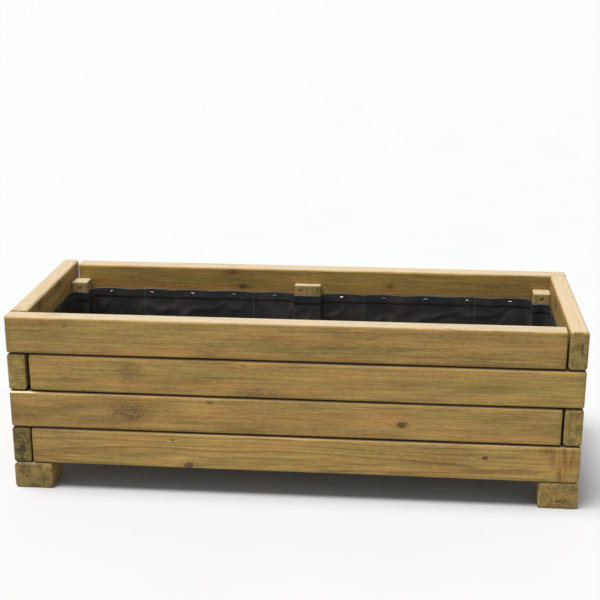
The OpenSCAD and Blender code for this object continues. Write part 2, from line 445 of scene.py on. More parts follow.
def rounded_box(extent, cut, sunk):
    """Grid over a box with rounded edges: places, how far out each points, normals and faces."""
    radii = np.array([cut.end_r, cut.edge_r, cut.edge_r])
    lines = []
    for i, step in enumerate((cut.step, cut.across, cut.across)):
        marks = [head[i] for head, direction, _ in sunk if abs(direction[i]) < 0.5]
        lines.append(grid_lines(extent[i], radii[i], step, marks))
    cells, faces = skin([len(line) for line in lines])
    flat = np.stack([lines[i][cells[:, i]] for i in range(3)], axis=-1)
    core = np.clip(flat, radii, extent - radii)
    out = (flat - core) / radii
    out = out / norm(out, axis=1, keepdims=True)
    normal = out / radii
    normal /= norm(normal, axis=1, keepdims=True)
    return core + out * radii, out, normal, faces


def lay_grain(place, extent, cut, draw):
    """Where the pith of the tree lay, how the rings wander along the bar, and how wide they are."""
    _, width, height = extent
    if cut.pith:
        pith = cut.pith
    elif draw.random() < FLAT_SAWN:
        pith = (width + draw.uniform(0.01, 0.05), draw.uniform(0.2, 0.8) * height)
    else:
        pith = (draw.uniform(-0.3, 1.3) * width, -draw.uniform(0.1, 0.8) * height)
    tilt = draw.normal(0, 0.010, 2)
    ring = cut.ring or draw.uniform(*RING_WIDTHS) * MM
    x, y, z = place.T
    grain = np.column_stack([x + draw.uniform(0, 20), y - pith[0] - tilt[0] * x,
                             z - pith[1] - tilt[1] * x])
    return grain, pith, ring


def push_grain(place, grain, knots):
    """Bends the grain round knots. Gives each point's place in its nearest knot, and how near."""
    knot = np.full_like(place, 9.0)
    knot[:, 2] = 0
    nearest = np.full(len(place), 9.0)
    x, _, z = place.T
    for along, up, rx, rz, hard in knots:
        dx, dz = x - along, z - up
        around = np.exp(-(dx / (3.2 * rx)) ** 2 - (dz / (2.2 * rz)) ** 2)
        grain[:, 2] -= 0.8 * dz * around
        grain[:, 1] += 0.6 * rz * around
        scaled = np.hypot(dx / rx, dz / rz)
        near = scaled < nearest
        nearest = np.where(near, scaled, nearest)
        knot[near] = np.stack([dx / rx, dz / rz, np.full_like(dx, hard)], axis=-1)[near]
    return knot, nearest


def ovals(place, marks, inner, outer):
    """Strength of the strongest of some soft oval marks at each point."""
    made = np.zeros(len(place))
    x, _, z = place.T
    for along, up, rx, rz, amount in marks:
        away = np.hypot((x - along) / rx, (z - up) / rz)
        made = np.maximum(made, amount * (1 - smooth(away, inner, outer)))
    return made


def soaked_ends(place, length, seed):
    """Ends drink more preservative, to a wandering line."""
    to_end = np.minimum(place[:, 0], length - place[:, 0])
    wander = noise(place * (30, 60, 60), seed + 3)
    return np.clip(1.1 - to_end / ((16 + 10 * wander) * MM), 0, 1)


def relief(place, knot, nearest, arris, is_end, seed):
    """Waves, saw marks, bruised arrises, rough ends and proud knots, as a push along the normal."""
    push = -0.25 * MM * (1 + noise(place * (2.5, 9, 9), seed + 11))
    push += -0.05 * MM * (1 + noise(place * (40, 150, 150), seed + 12))
    bruise = np.clip(noise(place * (22, 60, 60), seed + 13, 3), 0, 1) ** 2
    push -= arris * (0.25 + 1.6 * bruise) * MM
    push -= 0.12 * MM * is_end * (1 + noise(place * 420, seed + 14))
    hard = np.clip(knot[:, 2], 0, 1)
    return push + 0.30 * MM * hard * (1 - smooth(nearest, 0.5, 1.2)) * (1 - is_end)


def end_checks(place, extent, pith, is_end, cut, draw, seed):
    """Short drying cracks in the ends, each running away from the pith."""
    length, width, height = extent
    check = np.zeros(len(place))
    for _ in range(cut.checks):
        start = np.array([draw.uniform(0.1, 0.9) * width, draw.uniform(0.08, 0.92) * height])
        spoke = start - np.array(pith)
        spoke /= norm(spoke)
        offset = place[:, 1:] - start
        run = offset @ spoke
        side = offset @ np.array([-spoke[1], spoke[0]])
        side = side + 1.2 * MM * line_noise(run * 90, seed + 15)
        long = draw.uniform(0.10, 0.30) * height
        at_far_end = draw.random() < 0.5
        which = place[:, 0] > length / 2 if at_far_end else place[:, 0] < length / 2
        crack = 1 - smooth(np.abs(side), 0.2 * MM, 1.1 * MM)
        crack = crack * (1 - smooth(np.abs(run), 0.5 * long, long))
        check = np.maximum(check, crack * which * is_end)
    return check


def press_screws(place, normal, sunk):
    """Presses a dimple round each sunk head, and gives its strength at each point."""
    dimple = np.zeros(len(place))
    for head, direction, head_r in sunk:
        offset = place - head
        deep = offset @ direction
        radial = norm(offset - deep[:, None] * direction, axis=1)
        facing = normal @ direction < -0.6
        inside = facing & (np.abs(deep) < 5 * MM) & (radial < head_r + 1.6 * MM)
        bowl = 1 - smooth(radial, head_r - 0.2 * MM, head_r + 0.9 * MM)
        sink = np.maximum(0, HEAD_SINK + 0.35 * MM - deep) * bowl
        place[inside] += (sink[:, None] * direction)[inside]
        dimple = np.maximum(dimple, np.where(inside, bowl, 0))
    return dimple


def draw_back(place, extent, cut, seed):
    """Draws a bar in from its neighbours, at its ends and along its bow."""
    length, width, height = extent
    x, y, z = place.T
    below, above = cut.seams
    share = z / height
    z += below * (1 + 0.6 * line_noise(x * 5, seed + 21)) * (1 - share)
    z -= above * (1 + 0.6 * line_noise(x * 5, seed + 22)) * share
    at = x / length
    x += (cut.set_back[0] * (1 - at) - cut.set_back[1] * at) * MM
    if cut.bow:
        y += np.interp(x / length, BOW_PLACES, cut.bow) * MM * (1 - y / width)


def rubbing_light_and_shade(place, out, arris, check, dimple, cut):
    """How much each point's arrises are worn, plus a painted highlight along an upper edge when the cut
    asks for one, and how much painted shade darkens it in seams, dimples and checks.
    """
    below, above = cut.seams
    seam = smooth(out[:, 2], 0.55, 0.97) * (above > 0) + smooth(-out[:, 2], 0.55, 0.97) * (below > 0)
    # Painted shade: seams, screw dimples and drying checks are darkened.
    grime = np.maximum.reduce([check, 0.8 * dimple, 0.9 * seam])
    rubbed = arris * (1 - seam)
    # Painted highlight: a pale strip along the upper front edge near the first end, with no painted shade
    # on it.
    if cut.lit_edge:
        upper = smooth(out[:, 2], 0.30, 0.55) * (1 - smooth(out[:, 2], 0.90, 0.99))
        upper = upper * (out[:, 1] < -0.1)
        fade = 1 - smooth(place[:, 0], 0.35 * cut.lit_edge, cut.lit_edge)
        rubbed = np.maximum(rubbed, 2 * upper * fade)
        grime = grime * (1 - np.clip(rubbed - 1, 0, 1))
    return rubbed, grime


def timber(node, cut, material, seed):
    """A bar of timber in a CAD node's box, carrying its own grain for the wood material."""
    low, high = (np.array(corner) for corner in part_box(node))
    axes = [cut.grain] + [i for i in range(3) if i != cut.grain]
    extent = (high - low)[axes]
    draw = np.random.default_rng(seed)
    sunk = sunk_screws(low, extent, axes)
    place, out, normal, faces = rounded_box(extent, cut, sunk)
    arris = np.clip((1 - np.abs(out).max(1)) / FULL_ARRIS, 0, 1)
    is_end = np.abs(normal[:, 0])

    grain, pith, ring = lay_grain(place, extent, cut, draw)
    knot, nearest = push_grain(place, grain, cut.knots)
    tint = np.column_stack([soaked_ends(place, extent[0], seed),
                            ovals(place, cut.stains, 0.3, 1.2),
                            ovals(place, cut.blotches, 0.25, 1.15)])
    push = relief(place, knot, nearest, arris, is_end, seed)
    check = end_checks(place, extent, pith, is_end, cut, draw, seed)
    place = place + normal * (push - CHECK_DEPTH * check)[:, None]
    dimple = press_screws(place, normal, sunk)
    draw_back(place, extent, cut, seed)
    rubbed, grime = rubbing_light_and_shade(place, out, arris, check, dimple, cut)
    light, warm = cut.tone or draw.uniform(-1, 1, 2)

    world = np.empty_like(place)
    world[:, axes] = place + low[axes]
    if cut.grain == 1:
        faces = faces[:, ::-1]
    made = mesh_object(node + "_timber", np.clip(world, low, high), faces, grain=grain, knot=knot,
                       tint=tint, finish=np.column_stack([rubbed, grime, is_end]),
                       tone=np.tile([light, warm, ring * 1000], (len(place), 1)),
                       ends=np.tile([1 + cut.end[0], cut.end[1], 0], (len(place), 1)))
    stand_in(made, node, material)


# ---- materials

DRIFT_SPREAD = 0.17  # how far noise goes from 0.5 before a drift is full


def read_marks(t):
    """What each bar carries: place in its tree, stains, wear with painted highlights and painted shade,
    tone, knots and end tone.
    """
    w = SimpleNamespace(grain=t.attribute("grain"))
    w.knot_x, w.knot_z, w.hard = t.split(t.attribute("knot"))
    w.soaked, w.stain, w.blotch = t.split(t.attribute("tint"))
    w.rubbed, w.grime, w.is_end = t.split(t.attribute("finish"))
    w.light, w.warm, w.ring_mm = t.split(t.attribute("tone"))
    w.end_light, w.end_warm, _ = t.split(t.attribute("ends"))

    def layer(scales, offset=(0, 0, 0), detail=2, roughness=0.5, scale=1):
        return t.noise(t.stretched(w.grain, scales, offset), scale, detail, roughness)

    w.layer = layer
    return w


def lay_rings(t, w):
    """Late wood, from 0 to 1, at the outside of each growth ring round the pith."""
    _, across, up = t.split(w.grain)
    w.small = w.layer((8, 62, 62), detail=3)
    radius = t.vary(t.hypot(across, up), w.layer((1.3, 11, 11)), 0.030)
    radius = t.vary(radius, w.small, 0.0042)
    phase = t.math("DIVIDE", t.times(radius, 1000), w.ring_mm)
    within = t.math("FRACT", phase)
    late = t.times(t.step(within, 0.25, 0.82), t.step(within, 1.0, 0.88))
    each = t.white_noise(t.math("FLOOR", phase))
    w.late = t.times(late, t.scaled(each, 0.75, 0.25))


def lay_fibres(t, w):
    """Layers along the grain from fine to coarse, each from 0 to 1, and long drying splits."""
    def drift(scales, offset, detail=3):
        return t.step(w.layer(scales, offset, detail, 0.55), 0.5 - DRIFT_SPREAD, 0.5 + DRIFT_SPREAD)

    w.fibre = w.layer((26, 1500, 1500), detail=3, roughness=0.6)
    w.lines = drift((4.5, 430, 430), (3, 0, 1), 2)
    w.fleck = drift((75, 270, 270), (2, 3, 8))
    w.streak = drift((6, 135, 135), (0, 4, 2))
    w.flame = drift((9, 46, 46), (7, 2, 5))
    w.broad = drift((2.2, 15, 15), (5, 1, 2), 2)
    w.hue = drift((7, 70, 70), (1, 8, 3))
    w.shift = drift((1.6, 22, 22), (2, 6, 9), 2)
    along = t.split(w.grain)[0]
    w.planer = t.math("SINE", t.times(t.scaled(w.small, 0.004, along), 900))
    thin = t.step(w.layer((2.6, 470, 470), (6, 6, 2)), 0.645, 0.70)
    w.split = t.times(thin, t.step(w.layer((2.0, 18, 18), (3, 7, 7)), 0.50, 0.60))
    w.end_fleck = t.step(w.layer((60, 170, 260), detail=3, roughness=0.6), 0.36, 0.70)


def face_colour(t, w, early, late):
    """Planed faces, from rosy to green."""
    shade = t.vary(1.0, w.fibre, 0.55)
    for layer, strength in ((w.lines, 0.24), (w.streak, 0.24), (w.flame, 0.17), (w.broad, 0.20),
                            (w.fleck, 0.20), (w.planer, 0.010)):
        shade = t.vary(shade, layer, strength)
    shade = t.scaled(w.light, 0.05, shade)
    colour = t.tinted(t.mix(t.times(w.late, 0.62), early, late), t.grey(shade))
    colour = t.mix(t.times(w.split, 0.55), colour, t.tinted(colour, (0.34, 0.27, 0.20)))
    rosy = t.tinted(colour, (1.09, 0.955, 0.88))
    green = t.tinted(colour, (0.90, 0.99, 0.82))
    pull = t.scaled(w.warm, 0.12, t.scaled(w.shift, 0.5, t.times(w.hue, 0.5)))
    colour = t.mix(t.step(pull, 0.50, 0.90), colour, rosy)
    return t.mix(t.step(pull, 0.50, 0.10), colour, green)


def add_ends(t, w, colour, end_tone):
    """End grain is darker, greener and mottled where preservative soaked in."""
    spots = t.step(w.layer((1, 1, 1), (4, 4, 4), 4, 0.62, 52), 0.34, 0.66)
    rust = t.step(w.layer((1, 1, 1), (9, 2, 7), 3, 0.6, 42), 0.52, 0.70)
    end = t.mix(t.times(w.late, 0.85), end_tone, t.tinted(end_tone, (0.40, 0.36, 0.30)))
    shade = t.vary(t.vary(w.end_light, spots, 0.60), w.end_fleck, 0.42)
    end = t.tinted(end, t.grey(shade))
    end = t.mix(t.times(rust, w.end_warm), end, (0.30, 0.125, 0.040))
    colour = t.mix(t.step(w.is_end, 0.45, 0.85, 0, 0.94), colour, end)
    return t.mix(t.times(w.soaked, 0.50), colour, t.tinted(colour, (0.66, 0.78, 0.62)))


def add_mottle(t, w, colour, amount):
    """Brown and dark patches, as on the feet."""
    patch = t.noise(w.grain, 38, 4, 0.65)
    colour = t.mix(t.step(patch, 0.52, 0.66, 0, amount), colour, (0.32, 0.165, 0.050))
    return t.mix(t.step(patch, 0.46, 0.34, 0, amount), colour, (0.080, 0.072, 0.032))


def add_knots(t, w, colour):
    """Knots: a soft halo, a ringed heart and a dark broken rim."""
    x = t.vary(w.knot_x, w.layer((1, 1, 1), (3, 3, 3), 3, scale=150), 1.5)
    z = t.vary(w.knot_z, w.layer((1, 1, 1), (6, 1, 3), 3, scale=150), 1.5)
    ragged = t.vary(t.hypot(x, z), t.noise(w.grain, 420, 3), 0.35)
    heart = t.times(t.step(ragged, 1.05, 0.80), w.hard)
    halo = t.times(t.step(ragged, 2.6, 0.9), t.times(w.hard, 0.45))
    w.rim = t.times(t.step(ragged, 0.62, 0.92), t.step(ragged, 1.22, 0.98), w.hard)
    rings = t.scaled(t.math("SINE", t.times(ragged, 26)), 0.5, 0.5)
    broken = t.step(w.layer((1, 1, 1), (8, 8, 1), scale=120), 0.38, 0.60)
    colour = t.mix(halo, colour, t.tinted(colour, (0.70, 0.58, 0.46)))
    colour = t.mix(heart, colour, t.mix(rings, (0.050, 0.026, 0.010), (0.150, 0.076, 0.025)))
    return t.mix(t.times(w.rim, t.scaled(broken, 0.6, 0.4)), colour, (0.026, 0.013, 0.006))


def add_stains(t, w, colour):
    """Brown patches where a knot lies just below the face, and rusty drips."""
    curl = t.step(w.layer((150, 240, 240), detail=4, roughness=0.65), 0.36, 0.62)
    colour = t.mix(t.times(w.blotch, t.scaled(curl, 0.75, 0.25)), colour, (0.100, 0.060, 0.020))
    drip = t.step(w.layer((120, 14, 14), detail=3), 0.30, 0.65)
    return t.mix(t.times(w.stain, drip), colour, (0.170, 0.070, 0.012))


def add_wear_and_painted_light(t, w, colour, lit_top):
    """Painted light on faces that turn upwards, worn arrises, a painted highlight like an edge worn bare,
    and painted shade in seams, dimples and checks.
    """
    up = t.split(t.node("NewGeometry", output="Normal"))[2]
    # Painted light: faces that turn upwards get this paler copy of the wood, standing in for strong light
    # from above.
    pale = t.mix(t.times(w.late, 0.62), lit_top, t.mix(0.55, lit_top, colour))
    pale = t.mix(t.times(w.streak, 0.6), pale, t.tinted(pale, (0.98, 0.88, 0.80)))
    pale = t.mix(t.times(w.flame, 0.5), pale, t.tinted(pale, (0.90, 0.90, 0.88)))
    pale = t.mix(t.times(w.split, 0.7), pale, (0.10, 0.075, 0.04))
    colour = t.mix(t.step(up, 0.50, 0.92, 0, 0.88), colour, pale)
    patchy = t.step(t.noise(w.grain, 90, 3), 0.42, 0.75, 0, 0.5)
    colour = t.mix(t.times(w.rubbed, patchy), colour, t.mix(0.5, colour, (0.50, 0.37, 0.19)))
    # Painted highlight: the pale strip along that upper edge, where the rub mark goes past 1.
    colour = t.mix(t.step(w.rubbed, 1.0, 2.0, 0, 0.9), colour, (0.66, 0.53, 0.30))
    # Painted shade in seams, dimples and checks: mixed towards near black.
    return t.mix(t.times(w.grime, 0.92), colour, (0.050, 0.025, 0.004))


def add_surface(t, w, colour):
    """Fine relief, and a roughness that follows it."""
    height = t.scaled(w.late, 0.5, t.times(w.fibre, 0.65))
    height = t.scaled(w.split, -0.9, height)
    height = t.scaled(w.end_fleck, t.times(w.is_end, 0.8), height)
    height = t.math("SUBTRACT", height, t.times(w.rim, 0.9))
    fine = t.scaled(w.fibre, 0.16, 0.54)
    rough = t.scaled(w.is_end, 0.14, t.math("SUBTRACT", fine, t.times(w.late, 0.07)))
    rough = t.scaled(w.grime, 0.25, rough)
    t.surface(colour, rough, Normal=t.bump(height, 0.5, 0.0006), Specular_IOR_Level=0.30)


def wood_material(name, early, late, lit_top, end_tone, mottle=0.0):
    """Planed softwood. Rings, fibres, knots and stains come from each bar's own grain."""
    material, t = new_material(name)
    w = read_marks(t)
    lay_rings(t, w)
    lay_fibres(t, w)
    colour = face_colour(t, w, early, late)
    colour = add_ends(t, w, colour, end_tone)
    if mottle:
        colour = add_mottle(t, w, colour, mottle)
    colour = add_knots(t, w, colour)
    colour = add_stains(t, w, colour)
    colour = add_wear_and_painted_light(t, w, colour, lit_top)
    add_surface(t, w, colour)
    return material


TAPE = 2.2 * MM               # width of one woven tape
FOLDS = (0.41, 0.33)          # spacing of the packing creases each way
FOLD_WIDTHS = (0.010, 0.012)  # as shares of that spacing
TRACER = 0.3                  # spacing of the green marker threads


def weave(t, u, v):
    """Height of flat tapes that go over and under one another."""
    across, along = t.math("DIVIDE", u, TAPE), t.math("DIVIDE", v, TAPE)
    cell = t.math("ADD", t.math("FLOOR", across), t.math("FLOOR", along))
    over = t.math("GREATER_THAN", t.math("FRACT", t.times(cell, 0.5)), 0.25)
    fu, fv = t.off_middle(across), t.off_middle(along)
    heights = []
    for own, other in ((fu, fv), (fv, fu)):
        crown = t.math("SUBTRACT", 1.0, t.times(own, own, 2.6))
        heights.append(t.math("SUBTRACT", crown, t.times(other, other, 1.4)))
    return t.node("Mix", {0: over, 2: heights[0], 3: heights[1]}, data_type="FLOAT")


def liner_material():
    """Woven polypropylene ground cover: flat black tapes over and under, slightly glossy."""
    material, t = new_material("liner_weave")
    cloth = t.attribute("cloth")
    u, v, _ = t.split(cloth)
    height = weave(t, u, v)
    dust = t.noise(cloth, 14, 5, 0.62)
    scuff = t.noise(t.stretched(cloth, (60, 900, 1)), 1, 3)
    # Painted shade: the weave's hollows are darker and the crowns of the tapes lighter.
    colour = t.mix(t.step(height, 0.35, 1.0), (0.006, 0.006, 0.007), (0.032, 0.033, 0.036))
    colour = t.mix(t.step(dust, 0.42, 0.78, 0, 0.55), colour, (0.085, 0.072, 0.055))
    creases = []
    for side, spacing, width in zip((u, v), FOLDS, FOLD_WIDTHS):
        wavy = t.math("DIVIDE", t.scaled(dust, 0.006, side), spacing)
        creases.append(t.step(t.off_middle(wavy), width, 0.0))
    height = t.scaled(t.math("MAXIMUM", *creases), 2.2, height)
    tracer = t.math("LESS_THAN", t.off_middle(t.math("DIVIDE", u, TRACER)), 0.0065)
    colour = t.mix(t.times(tracer, 0.55), colour, (0.035, 0.085, 0.045))
    rough = t.scaled(dust, 0.3, t.scaled(scuff, 0.12, 0.30))
    t.surface(colour, rough, Normal=t.bump(height, 0.7, 0.0006), Specular_IOR_Level=0.45)
    return material


def zinc_material(name, base, spot):
    """Plated steel with cloudy plating and small scratches."""
    material, t = new_material(name)
    place = t.place()
    cloud = t.noise(place, 320, 4, 0.6)
    scratch = t.noise(t.stretched(place, (2400, 2400, 300)), 1, 2)
    colour = t.mix(t.step(cloud, 0.38, 0.70), base, spot)
    rough = t.scaled(cloud, 0.25, 0.22)
    t.surface(colour, rough, Normal=t.bump(scratch, 0.25, 0.0001), Metallic=1.0)
    return material


# ---- screws and staples

SCREW_SIDES = 36
LOBE = 0.50          # mean radius of the recess, as a share of the head's
THREAD_START = 0.35  # where the thread starts, as a share of the length
THREAD_PITCH = 0.62  # as a share of the shank's diameter
THREAD_DEPTH = 0.26  # as a share of the shank's radius
WIRE = 0.45 * MM     # radius of a staple's wire
WIRE_SIDES = 10
STAPLE_BEND = 1.2 * MM  # radius of its corners
STAPLE_LEG = 8 * MM
WELD = 0.01 * MM  # points this near each other become one


def frame_of(direction):
    """Three columns: two across a direction, then the direction itself."""
    d = np.array(direction, dtype=float)
    a = np.cross(d, (0, 0, 1) if abs(d[2]) < 0.9 else (1, 0, 0))
    a /= norm(a)
    return np.stack([a, np.cross(d, a), d], axis=1)


def tube_faces(rings, sides):
    """Faces between closed rings of points that follow one another."""
    faces = []
    for ring in range(rings - 1):
        for i in range(sides):
            j = (i + 1) % sides
            a, b = ring * sides, (ring + 1) * sides
            faces.append((a + i, a + j, b + j, b + i))
    return np.array(faces)


def screw_shape(length, shank_r, head_r, turn):
    """Countersunk screw with a six-lobed recess and a rolled thread; z runs from head to tip."""
    angle = np.arange(SCREW_SIDES) / SCREW_SIDES * 2 * math.pi + turn
    lobe = LOBE * head_r * (1 + 0.16 * np.cos(6 * angle))
    thread_z = THREAD_START * length
    cone_z = 0.4 * MM + (head_r - shank_r)
    rings = [(0, 1.5 * MM), (lobe * 0.75, 1.5 * MM), (lobe * 0.98, 1.35 * MM), (lobe, 0.08 * MM),
             (lobe + 0.12 * MM, 0.0), (head_r * 0.93, 0.0), (head_r, 0.14 * MM), (head_r, 0.4 * MM),
             (shank_r, cone_z), (shank_r, thread_z)]
    pitch = THREAD_PITCH * 2 * shank_r
    depth = THREAD_DEPTH * shank_r
    for z in np.arange(thread_z + 0.3 * MM, length, pitch / 4):
        taper = np.clip((length - z) / (3.2 * shank_r), 0.04, 1)
        spin = (z / pitch - (angle - turn) / (2 * math.pi)) % 1
        crest = np.clip(1 - np.abs(spin - 0.5) / 0.26, 0, 1)
        rings.append(((shank_r - depth + depth * crest) * taper, z))
    rings.append((0, length))
    points = [np.stack([r * np.cos(angle), r * np.sin(angle), np.full(SCREW_SIDES, z)], -1)
              for r, z in rings]
    return np.concatenate(points), tube_faces(len(rings), SCREW_SIDES)


def joined(parts):
    """One array of points and one of faces from several pairs."""
    points, faces, count = [], [], 0
    for p, f in parts:
        points.append(p)
        faces.append(f + count)
        count += len(p)
    return np.concatenate(points), np.concatenate(faces)


def mended(obj, mend):
    """Runs a mend on a piece's mesh, then turns its faces outwards."""
    build = bmesh.new()
    build.from_mesh(obj.data)
    mend(build)
    bmesh.ops.recalc_face_normals(build, faces=build.faces)
    build.to_mesh(obj.data)
    build.free()


def weld(build):
    bmesh.ops.remove_doubles(build, verts=build.verts, dist=WELD)
    bmesh.ops.dissolve_degenerate(build, edges=build.edges, dist=WELD)


def cap_wires(build):
    open_edges = [edge for edge in build.edges if edge.is_boundary]
    bmesh.ops.holes_fill(build, edges=open_edges, sides=WIRE_SIDES + 2)


def make_screws(material):
    for node, group in screws.items():
        parts = []
        for screw in group:
            points, faces = screw_shape(screw["length"] - HEAD_SINK, screw["shank_r"],
                                        screw["head_r"] - 0.15 * MM, rng.uniform(0, 2 * math.pi))
            turned = points @ frame_of(screw["drive"]).T
            parts.append((turned + screw["head"] + screw["drive"] * HEAD_SINK, faces))
        made = mesh_object(node + "_driven", *joined(parts))
        mended(made, weld)
        stand_in(made, node, material)


def tube(path):
    """Wire along a path of points, open at its ends."""
    ahead = np.gradient(path, axis=0)
    ahead /= norm(ahead, axis=1, keepdims=True)
    angle = np.arange(WIRE_SIDES) / WIRE_SIDES * 2 * math.pi
    points = []
    for p, d in zip(path, ahead):
        a, b, _ = frame_of(d).T
        points.append(p + WIRE * (np.outer(np.cos(angle), a) + np.outer(np.sin(angle), b)))
    return np.concatenate(points), tube_faces(len(path), WIRE_SIDES)


def staple_path(low, high, wall):
    """Middle line of the wire that stands for one CAD staple, driven into the nearest wall."""
    centre = (low + high) / 2
    across = 0 if abs(centre[1]) > wall - 12 * MM else 1
    deep = 1 - across
    inward = -np.sign(centre[deep])
    face = high[deep] if inward > 0 else low[deep]
    half = (high[across] - low[across]) / 2 - WIRE
    top = face - inward * (WIRE + 0.05 * MM)
    outline = [(-half, STAPLE_LEG), (-half, 5 * MM), (-half, STAPLE_BEND)]
    outline += [(-half + STAPLE_BEND * (1 - math.cos(a)), STAPLE_BEND * (1 - math.sin(a)))
                for a in np.linspace(0.2, math.pi / 2, 5)]
    outline += [(-x, y) for x, y in reversed(outline)]
    tip = rng.uniform(-0.12, 0.12)
    path = np.zeros((len(outline), 3))
    path[:, across] = centre[across] + np.array([x * math.cos(tip) for x, _ in outline])
    path[:, 2] = centre[2] + np.array([x * math.sin(tip) for x, _ in outline])
    path[:, deep] = top - inward * np.array([y for _, y in outline])
    return path


def make_staples(material):
    """Galvanised wire staples over the liner's hem, bent from round-cornered wire."""
    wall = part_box("liner")[1][1]
    paths = [staple_path(p.min(0), p.max(0), wall) for p in islands("liner_staples")]
    made = mesh_object("liner_staples_driven", *joined([tube(path) for path in paths]))
    mended(made, cap_wires)
    stand_in(made, "liner_staples", material)


# ---- fabric liner

HEM = 24 * MM      # depth of the turned hem
BEND = 12 * MM     # radius where the walls turn into the floor
FABRIC = 0.7 * MM  # modelled thickness
CLEAR = 0.4 * MM   # gap from the posts and battens that it is folded round
HOLLOW = 16 * MM   # radius where it bridges an inside corner
TIGHT = 2.6 * MM   # radius where it wraps an outside corner
FLOOR_GRID = 8 * MM


def rounded_loop(corners, step):
    """A closed plan line through corners given as (x, y, radius), with its unit normals to the inside."""
    count = len(corners)
    xy = np.array([c[:2] for c in corners])
    points, normals = [], []
    for i in range(count):
        before, here, after = xy[i - 1], xy[i], xy[(i + 1) % count]
        radius = corners[i][2]
        into = (here - before) / norm(here - before)
        away = (after - here) / norm(after - here)
        turn = np.sign(into[0] * away[1] - into[1] * away[0])
        side = turn * np.array([-into[1], into[0]])
        middle = here - into * radius + side * radius
        steps = max(5, int(radius * math.pi / 2 / step) + 1)
        for a in np.linspace(0, math.pi / 2, steps + 1):
            spoke = -side * math.cos(a) + into * math.sin(a)
            points.append(middle + radius * spoke)
            normals.append(-spoke * turn)
        following = corners[(i + 1) % count][2]
        start = here + away * radius
        length = norm(after - here) - radius - following
        for k in range(1, max(2, int(length / step))):
            points.append(start + away * length * k / max(2, int(length / step)))
            normals.append(np.array([-away[1], away[0]]))
    return np.array(points), np.array(normals)


def liner_plan(box):
    """Plan line of the tub round posts and battens, and what shapes its walls at each point."""
    x1, y1, _ = box[1]
    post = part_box("corner_post_back_right")[0]
    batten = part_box("batten_back")
    p = SimpleNamespace(px=post[0] - CLEAR, py=post[1] - CLEAR,
                        bx=batten[1][0] + CLEAR, by=batten[0][1] - CLEAR)
    quarter = [(x1, p.py, HOLLOW), (p.px, p.py, TIGHT), (p.px, y1, HOLLOW),
               (p.bx, y1, 14 * MM), (p.bx, p.by, TIGHT)]
    half = quarter + [(-x, y, r) for x, y, r in reversed(quarter)]
    p.line, p.inward = rounded_loop(half + [(-x, -y, r) for x, y, r in half], 6 * MM)
    staples = np.array([(s.min(0) + s.max(0))[:2] / 2 for s in islands("liner_staples")])
    to_staple = norm(p.line[:, None] - staples[None], axis=2).min(1)
    p.slack = np.clip(to_staple / (55 * MM), 0, 1) ** 2
    p.corner_away = norm(np.abs(p.line) - (p.px, y1), axis=1)
    p.on_long = np.abs(p.line[:, 1]) > y1 - 2 * MM
    return p


def wall_push(p, depth, wall):
    """How far the wall stands inwards at one depth, and how far its hem sags between staples."""
    def near_hem(hems):
        return max(0, 1 - depth / (hems * HEM))

    place = np.stack([p.line[:, 0] * 9, p.line[:, 1] * 9, np.full(len(p.line), depth * 6)], -1)
    body = smooth(depth, 8 * MM, 90 * MM) * (1 - 0.75 * smooth(depth, wall - 60 * MM, wall))
    push = 6.0 * MM * body * np.clip(noise(place, 5, 3) + 0.30, 0, 1.2)
    ridge = 1 - np.abs(noise(place * (1.6, 1.6, 1.1) + depth * 4, 8, 2))
    push += 3.2 * MM * body * smooth(ridge, 0.82, 1.0)
    push += 1.2 * MM * body * np.clip(noise(place * (3.5, 3.5, 1.2) + 4, 6, 2), 0, 1)
    push *= np.where(p.corner_away < 24 * MM, 0.25, 1.0)
    push += 1.5 * MM * p.slack * near_hem(2.5)
    push += 0.9 * MM * (1 - smooth(depth, HEM - 0.4 * MM, HEM + 0.6 * MM))
    level = 1 - depth / wall
    flap = p.on_long & (p.corner_away < 30 * MM + 170 * MM * (1 - level))
    push += np.where(flap, 1.3 * MM * smooth(depth, HEM, HEM + 25 * MM), 0)
    return push, 2.2 * MM * p.slack * near_hem(3)


def liner_walls(p, bottom, top):
    """Rings of points from the hem down the walls, then round a curve into the floor."""
    wall = top - bottom - BEND
    depths = np.concatenate([np.linspace(0, HEM - 1.2 * MM, 8), [HEM, HEM + 1.0 * MM],
                             np.linspace(HEM + 6 * MM, wall, 34)])
    rings = []
    for depth in depths:
        push, sag = wall_push(p, depth, wall)
        rings.append(np.column_stack([p.line + p.inward * push[:, None], top - depth - sag]))
    last_push = norm(rings[-1][:, :2] - p.line, axis=1)
    for angle in np.linspace(0, math.pi / 2, 7)[1:]:
        ease = 1 - angle / (math.pi / 2)
        reach = last_push * ease + BEND * (1 - math.cos(angle))
        height = np.full(len(p.line), bottom + BEND * (1 - math.sin(angle)))
        rings.append(np.column_stack([p.line + p.inward * reach[:, None], height]))
    return rings


def ring_faces(rings, count):
    faces = []
    for ring in range(rings - 1):
        a = ring * count + np.arange(count)
        b = ring * count + (np.arange(count) + 1) % count
        faces += [np.stack([a, b + count, a + count], -1), np.stack([a, b, b + count], -1)]
    return np.concatenate(faces)


def floor_points(p, rim, box):
    """Scattered points inside the rim, clear of posts and battens, and how far each is from the rim."""
    (x0, y0, _), (x1, y1, _) = box
    xs = np.arange(x0 + 18 * MM, x1 - 17 * MM, FLOOR_GRID)
    ys = np.arange(y0 + 18 * MM, y1 - 17 * MM, FLOOR_GRID)
    grid = np.stack(np.meshgrid(xs, ys), -1).reshape(-1, 2)
    place = np.column_stack([grid * 300, grid[:, :1]])
    grid = grid + 1.5 * MM * np.stack([noise(place, k, 1) for k in (1, 2)], -1)
    spacing = norm(grid[:, None] - rim[None], axis=2).min(1)
    free = (np.abs(grid[:, 0]) < p.px - BEND) | (np.abs(grid[:, 1]) < p.py - BEND)
    free &= (np.abs(grid[:, 0]) > p.bx + BEND) | (np.abs(grid[:, 1]) < p.by - BEND)
    free &= spacing > 5 * MM
    return grid[free], spacing[free]


